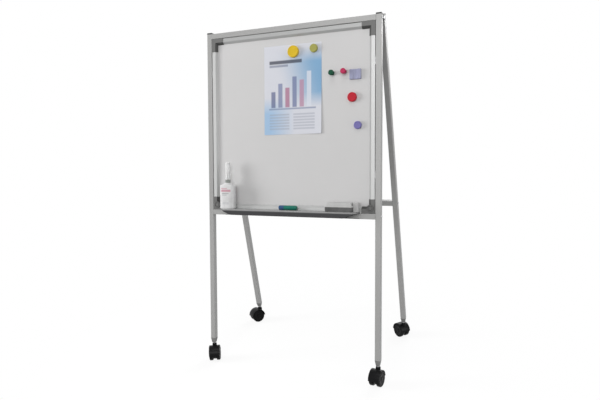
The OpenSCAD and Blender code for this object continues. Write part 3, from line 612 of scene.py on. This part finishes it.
def castor_wheel(name, side):
    """Wheel with a dished hub and a rounded tread, open where it sits on the axle."""
    spin = joint(f"castor_{name}_wheel_{side}_spin")
    outward = Vector(spin["axis"]).normalized()
    centre = Vector(spin["pos_m"])
    stem = Vector(joint(f"castor_{name}_swivel")["pos_m"])
    # the spin axes may point either way, so the outward one leads away from the stem
    if outward.dot(centre - stem) < 0:
        outward = -outward
    node = f"castor_{name}_wheel_{side}"
    low, high = reach(node, outward)
    inner = centre + outward * (low - centre.dot(outward))
    w = (high - low) / MM
    radius = size(node, VERTICAL) / 2
    sideways = VERTICAL.cross(outward)
    place = axes_matrix(sideways, outward.cross(sideways), outward, inner)
    profile = [(0, w - 2.2), (3.2, w - 2.2, 0), (3.2, 0, 0), (8, 0, 0.4), (9, 0.8, 0.4),
               (radius - 5, 0.8, 0.4), (radius - 4, 0.1, 0.4), (radius - 1.2, 0.2, 1), (radius, 1.8, 1.6),
               (radius, w - 2.2, 1.8), (radius - 1.6, w - 0.1, 1.2), (radius - 4.2, w, 0.5),
               (radius - 4.8, w - 1.4, 0.4), (radius - 6, w - 1.5, 0.4), (radius - 7, w - 0.5, 0.6),
               (10.5, w - 1.3, 1.5), (8.8, w - 2.0, 0.4), (7.8, w - 2.0, 0.4), (7.2, w - 0.4, 0.6),
               (0, w - 0.1)]
    piece(node, place, node, [node], "wheel_rubber", [lathe_rings(profile)], 50)


def castor_yoke(name):
    """Central web with the hood over both wheels and the collar on the stem."""
    node = f"castor_{name}_yoke"
    centres = [Vector(joint(f"castor_{name}_wheel_{side}_spin")["pos_m"]) for side in "ab"]
    axle = (centres[0] + centres[1]) / 2
    stem = Vector(joint(f"castor_{name}_swivel")["pos_m"])
    to_stem = stem - axle
    to_stem.z = 0
    trail = to_stem.length / MM
    to_stem.normalize()
    # local X runs to the stem, local Y up, local Z along the axle
    along_axle = to_stem.cross(VERTICAL)
    place = axes_matrix(to_stem, VERTICAL, along_axle, axle)
    half = size(node, along_axle) / 2
    top = (reach(node, VERTICAL)[1] - axle.z) / MM
    outer = -(reach(node, to_stem)[0] - axle.dot(to_stem)) / MM
    web_half, web_r, hood_thickness = 6.0, 20, 2.2
    inner = outer - hood_thickness
    steps = 40
    outline = arc_points(outer, steps) + arc_points(inner, steps, math.pi, 0.0)
    hood = block_rings(outline, -half, half, 0.8)
    web_disc = block_rings(arc_points(web_r, 48, 0.0, 2 * math.pi)[:-1], -web_half, web_half, 0.8)
    # the web reaches slightly into the hood
    web_fill = block_rings(arc_points(inner * 1.02, steps), -web_half, web_half, 0.5)
    neck = block_rings(arc_corners([(trail - 8, 8, 1), (trail + 7, 8, 2), (trail + 7, top - 3, 2),
                                    (trail - 8, top - 3, 1)]), -web_half, web_half, 0.9)
    collar = [[Vector((trail + p.x, p.z, -p.y)) for p in ring]
              for ring in lathe_rings([(0, 16), (8, 16, 0), (8, top - 1.5, 1), (6.4, top, 0.8), (4.2, top, 0),
                                       (4.2, top - 2), (0, top - 2)], 40)]
    piece(node, place, f"castor_{name}", [node], "castor_plastic",
          [hood, web_disc, web_fill, neck, collar], 40)


# Board items

def round_magnet(node, body, slot):
    """Disc magnet with a bevelled rim and a dished face."""
    r = size(node, ACROSS) / 2
    h = size(node, OUT)
    profile = [(0, 0), (r - 0.5, 0, 0.3), (r, 0.9, 0.6), (r - 0.5, h - 1.8, 1.2), (r - 2.8, h, 1.4),
               (r - 4.6, h - 0.9, 1.2), (0, h - 0.7)]
    piece(node, on_board(node), body, [node], slot, [lathe_rings(profile, 72, 6)], 60)


def pin_magnet(node, body, slot):
    """Pin-shaped magnet with a foot, a waist and a flared head."""
    r = size(node, ACROSS) / 2
    h = size(node, OUT)
    profile = [(0, 0), (r * 0.78, 0, 0.6), (r * 0.78, h * 0.15, 0.8), (r * 0.5, h * 0.42, 3),
               (r * 0.56, h * 0.52, 3), (r, h * 0.76, 1.6), (r * 0.98, h * 0.9, 1.4), (r * 0.72, h, 1.4),
               (r * 0.5, h - 0.5, 0.6), (0, h - 0.6)]
    piece(node, on_board(node), body, [node], slot, [lathe_rings(profile, 56, 6)], 60)


def block_magnet():
    """Block magnet with a finger groove down its face."""
    node = "magnet_block"
    w, h, t = size(node, ACROSS), size(node, UP), size(node, OUT)
    outline = arc_corners([(-w / 2, 0, 2), (w / 2, 0, 2), (w / 2, t, 2), (8, t, 3), (4, t - 2, 5),
                           (-4, t - 2, 5), (-8, t, 3), (-w / 2, t, 2)], 6)
    rings = [[Vector((p.x, -p.z, p.y)) for p in ring] for ring in block_rings(outline, -h / 2, h / 2, 1.9)]
    piece(node, on_board(node), "block_magnet", [node], "lavender_plastic", [rings])


def paper_lift(u, v):
    """Distance off the board in mm at a share of the sheet's width and height: its foot curls."""
    flat, right_corner, left_corner, wave = 0.12, 3.4, 1.0, 0.4
    low = max(0.0, 0.7 - v) / 0.7
    right = max(0.0, u - 0.5) * 2
    left = max(0.0, 0.5 - u) * 2
    return (flat + right_corner * low ** 1.3 * right ** 2.5 + left_corner * low ** 2 * left ** 2
            + wave * low * math.sin(u * math.pi * 2) ** 2)


def paper():
    """Sheet with two faces and an edge, held flat at its head."""
    node = "paper_sheet"
    w, h = size(node, ACROSS), size(node, UP)
    columns, rows = 28, 40
    thickness = 0.15
    bm = bmesh.new()
    layers = []
    for shift in (0, thickness):
        layers.append([[bm.verts.new(((u - 0.5) * w, (v - 0.5) * h, paper_lift(u, v) + shift))
                        for u in (i / columns for i in range(columns + 1))]
                       for v in (j / rows for j in range(rows + 1))])
    for layer in layers:
        for j in range(rows):
            for i in range(columns):
                bm.faces.new((layer[j][i], layer[j][i + 1], layer[j + 1][i + 1], layer[j + 1][i]))
    back, face = layers
    edge = ([(j, 0) for j in range(rows)] + [(rows, i) for i in range(columns)]
            + [(j, columns) for j in range(rows, 0, -1)] + [(0, i) for i in range(columns, 0, -1)])
    for k, (j, i) in enumerate(edge):
        nj, ni = edge[(k + 1) % len(edge)]
        bm.faces.new((back[j][i], back[nj][ni], face[nj][ni], face[j][i]))
    made = finish_mesh(node, bm, on_board(node), MATERIALS["paper"], 50)
    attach(made, "stand_front")
    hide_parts(node)


# Tray items

def along_x(rings):
    """Turns rings made about Z so that they run along X."""
    return [[Vector((p.z, p.y, -p.x)) for p in ring] for ring in rings]


def marker():
    """Marker along X: a hollow cap, and a barrel whose neck and tip stand in it."""
    r = size("marker_cap", UP) / 2
    cap_len = size("marker_cap", ACROSS)
    tip = (reach("marker_barrel", ACROSS)[0] - reach("marker_cap", ACROSS)[0]) / MM
    total = tip + size("marker_barrel", ACROSS)
    place = on_tray("marker_cap")
    place.translation = (place.translation - ACROSS * (cap_len / 2) * MM) + UP * r * MM
    cap = [(0, 0), (r - 2.2, 0, 0.6), (r - 0.6, 1.4, 1.2), (r, 5, 1), (r, cap_len - 0.6, 0.3),
           (r - 0.5, cap_len, 0.2), (r - 2.2, cap_len, 0.2), (r - 2.2, 5), (0, 5)]
    piece("marker_cap", place, "marker_lid", ["marker_cap"], "marker_blue", [along_x(lathe_rings(cap, 48))])
    neck = r - 2.6
    barrel = [(0, tip), (1.6, tip + 0.4, 0.6), (2.3, tip + 3, 1), (2.5, cap_len - 9, 0.5),
              (neck, cap_len - 7, 0.8), (neck, cap_len, 0), (r - 0.4, cap_len + 0.1, 0.2),
              (r, cap_len + 0.8, 0.4), (r, total - 7, 0.5), (r - 0.3, total - 6.6, 0.2),
              (r - 0.3, total - 6, 0.2), (r - 0.1, total - 5.6, 0.3), (r - 0.7, total - 1.4, 1.5),
              (r - 2.6, total, 0.8), (0, total - 0.3)]
    piece("marker_barrel", place, "marker", ["marker_barrel"], "marker_green",
          [along_x(lathe_rings(barrel, 48))])


def eraser():
    """Felt pad under a stepped grip, with a plain block at the right end."""
    felt_w, depth, felt_h = (size("eraser_felt", axis) for axis in (ACROSS, OUT, UP))
    pad = block_rings(rectangle(felt_w, depth, 3), 0, felt_h, 0.8)
    place = on_tray("eraser_felt")
    piece("eraser_felt", place, "eraser", ["eraser_felt"], "felt", [pad])
    top = size("eraser_grip", UP)
    # height and inset of each ring of the grip
    levels = ((felt_h, 0.6), (felt_h + 0.6, 0), (felt_h + 3.4, 0), (felt_h + 4.2, 0.6), (felt_h + 4.4, 2.2),
              (felt_h + 5, 3.0), (top - 2.6, 3.8), (top - 1.2, 4.4), (top - 0.4, 5.6), (top, 7.5))
    grip = [[Vector((p.x, p.y, z))
             for p in rectangle(felt_w - 2 * inset, depth - 2 * inset, max(3 - inset, 2.2))]
            for z, inset in levels]
    right = (reach("eraser_grip", ACROSS)[1] - middle("eraser_felt", ACROSS)) / MM
    end_depth, overlap = 22, 1
    end_w = right - felt_w / 2 + overlap
    end_middle = (right - end_w / 2, depth / 2 - end_depth / 2)
    end = block_rings(rectangle(end_w, end_depth, 3.5, end_middle), 0, top, 1.5)
    piece("eraser_grip", place, "eraser", ["eraser_grip"], "eraser_plastic", [grip, end], 40)


def oval(width, depth, height, power, count=64):
    """Ring that is an ellipse at power 2 and nears a box section at higher powers."""
    ring = []
    for k in range(count):
        a = 2 * math.pi * k / count
        c, s = math.cos(a), math.sin(a)
        ring.append(Vector((width / 2 * math.copysign(abs(c) ** (2 / power), c),
                            depth / 2 * math.copysign(abs(s) ** (2 / power), s), height)))
    return ring


def bottle(place):
    """Flat bottle with a fluted collar and the stem that carries the pump."""
    w, d = size("spray_bottle", ACROSS), size("spray_bottle", OUT)
    body_h, collar_r, stem_r, stem_h = 82, 9, 2, 7
    # width, depth, height and power of each ring
    levels = [(w - 7, d - 7, 1.2, 2.6), (w - 4, d - 4, 0.0, 2.8), (w - 1.6, d - 1.6, 0.9, 3),
              (w - 0.2, d - 0.2, 3.2, 3), (w, d, 6, 3), (w - 0.3, d - 0.3, 40, 3), (w, d, body_h - 4, 3),
              (w - 0.8, d - 0.6, body_h - 1.5, 2.9), (w - 4, d - 2, body_h + 1, 2.7),
              (w * 0.74, d * 0.80, body_h + 3.6, 2.4), (w * 0.54, d * 0.68, body_h + 5.8, 2.1),
              (24, 21, SHOULDER_MM - 1.4, 2), (21, 20.2, SHOULDER_MM - 0.4, 2), (20.4, 20, SHOULDER_MM, 2)]
    shell = [oval(*level) for level in levels]
    top = COLLAR_TOP_MM
    collar = lathe_rings([(0, SHOULDER_MM), (collar_r, SHOULDER_MM, 0.5), (collar_r, top - 1, 0.6),
                          (collar_r - 1, top, 0.4), (0, top)], 60, 3, flute=0.35)
    stem = lathe_rings([(0, top), (stem_r, top), (stem_r, top + stem_h), (0, top + stem_h)], 24)
    piece("spray_bottle", place, "bottle", ["spray_bottle"], "bottle_plastic", [shell, collar, stem], 40)


def pump(place):
    """Press-down pump, open below around the bottle's stem."""
    low = (reach("spray_pump", UP)[0] - reach("spray_bottle", UP)[0]) / MM
    r, high = size("spray_pump", ACROSS) / 2, low + size("spray_pump", UP)
    nozzle = lathe_rings([(0, low + 8), (2.1, low + 8), (2.1, low, 0), (r - 0.3, low, 0.3),
                          (r, low + 0.8, 0.4), (r, high - 2, 0.8), (r - 1, high, 0.8),
                          (2, high - 0.7, 1), (0, high - 0.8)], 40)
    piece("spray_pump", place, "pump", ["spray_pump"], "white_plastic", [nozzle])


def clear_cap(place):
    """Clear cap over the pump, with a wall of its own thickness."""
    low, wall = COLLAR_TOP_MM, 1.4
    r, high = size("spray_cap", ACROSS) / 2, low + size("spray_cap", UP)
    cover = lathe_rings([(r - wall, low, 0.2), (r, low, 0.3), (r, high - 3, 1.4), (r - 2, high, 1.2),
                         (0, high)], 56)
    inside = lathe_rings([(r - wall, low, 0.2), (r - wall, high - 3.6, 1), (r - wall - 2, high - 1.6, 1),
                          (0, high - 1.6)], 56)
    bm = bmesh.new()
    add_skin(bm, cover, caps=False)
    add_skin(bm, inside, caps=False)
    made = finish_mesh("spray_cap", bm, place, MATERIALS["clear_plastic"])
    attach(made, "bottle_lid")
    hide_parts("spray_cap")


# Floor, lamps and white background

FLOOR_REACH_MM = 30000
AMBIENT = 0.30


def add_floor():
    """White floor that keeps a faint shadow near the object and none far away."""
    bm = bmesh.new()
    bmesh.ops.create_grid(bm, x_segments=1, y_segments=1, size=FLOOR_REACH_MM)
    s = Shader(bpy.data.materials.new("studio_floor"))
    seen = s.studio_rays()
    here = s.add("ShaderNodeTexCoord").outputs["Object"]
    away = s.add("ShaderNodeVectorMath", operation="LENGTH", inputs={0: here}).outputs["Value"]
    # share of plain white in what is seen of the floor, growing with the distance in metres
    white = s.ramp(away, 0.45, 1.0, 0.88, 1.0)
    lit = s.add("ShaderNodeBsdfDiffuse", inputs={"Color": s.mix(seen, grey(0.28), grey(0.95))})
    glow = s.add("ShaderNodeEmission", inputs={"Color": grey(1.0), "Strength": 1.0})
    both = s.add("ShaderNodeMixShader")
    s.put(both.inputs[0], s.math("MULTIPLY", seen, white))
    s.put(both.inputs[1], lit.outputs[0])
    s.put(both.inputs[2], glow.outputs[0])
    s.put(s.output.inputs["Surface"], both.outputs[0])
    finish_mesh("floor", bm, Matrix(), s.owner)


def add_lamp(name, where, aim, width, height, power, shine=True):
    """Soft box that the camera doesn't see, in metres and watts; shine is whether gloss reflects it."""
    lamp = bpy.data.lights.new(name, "AREA")
    lamp.shape = "RECTANGLE"
    lamp.size = width
    lamp.size_y = height
    lamp.energy = power
    placed = bpy.data.objects.new(name, lamp)
    placed.location = where
    placed.rotation_euler = (Vector(aim) - Vector(where)).to_track_quat("-Z", "Y").to_euler()
    placed.visible_camera = False
    placed.visible_glossy = shine
    bpy.context.scene.collection.objects.link(placed)


def add_world():
    """White to the camera, in gloss and through clear pieces; a dimmer ambient light elsewhere."""
    world = bpy.data.worlds.new("studio")
    s = Shader(world, "ShaderNodeOutputWorld")
    strength = s.ramp(s.studio_rays(), 0.0, 1.0, AMBIENT, 1.0)
    background = s.add("ShaderNodeBackground", inputs={"Color": grey(1.0), "Strength": strength})
    s.put(s.output.inputs["Surface"], background.outputs[0])
    bpy.context.scene.world = world


add_camera()
add_world()
add_lamp("key", (-3.6, -1.4, 1.3), (0, 0, 0.65), 1.1, 2.0, 132, shine=False)
add_lamp("front", (0.5, -2.7, 1.8), (0, 0, 0.6), 1.8, 1.4, 29)
add_lamp("top", (0.2, -0.9, 3.2), (0, 0, 0.6), 1.6, 1.2, 14)
add_lamp("back", (0.5, 3.0, 2.0), (0, 0, 0.6), 2.0, 1.6, 60)
add_lamp("side", (2.9, -0.6, 0.9), (0, 0, 0.55), 1.8, 1.6, 22)
add_floor()
bpy.context.scene.view_settings.view_transform = "Standard"

for material_name, cad_nodes in CAD_NODES.items():
    for cad_node in cad_nodes:
        dress_cad_node(cad_node, MATERIALS[material_name])
corner_covers()
for castor in CASTORS:
    castor_yoke(castor)
    for wheel_side in "ab":
        castor_wheel(castor, wheel_side)
round_magnet("magnet_yellow_large", "yellow_magnet", "yellow_plastic")
round_magnet("magnet_yellow_small", "small_magnet", "olive_plastic")
round_magnet("magnet_red", "red_magnet", "red_plastic")
round_magnet("magnet_violet", "violet_magnet", "violet_plastic")
pin_magnet("pin_magnet_green", "green_pin", "green_plastic")
pin_magnet("pin_magnet_pink", "pink_pin", "pink_plastic")
block_magnet()
paper()
marker()
eraser()
bottle_place = on_tray("spray_bottle")
bottle(bottle_place)
pump(bottle_place)
clear_cap(bottle_place)
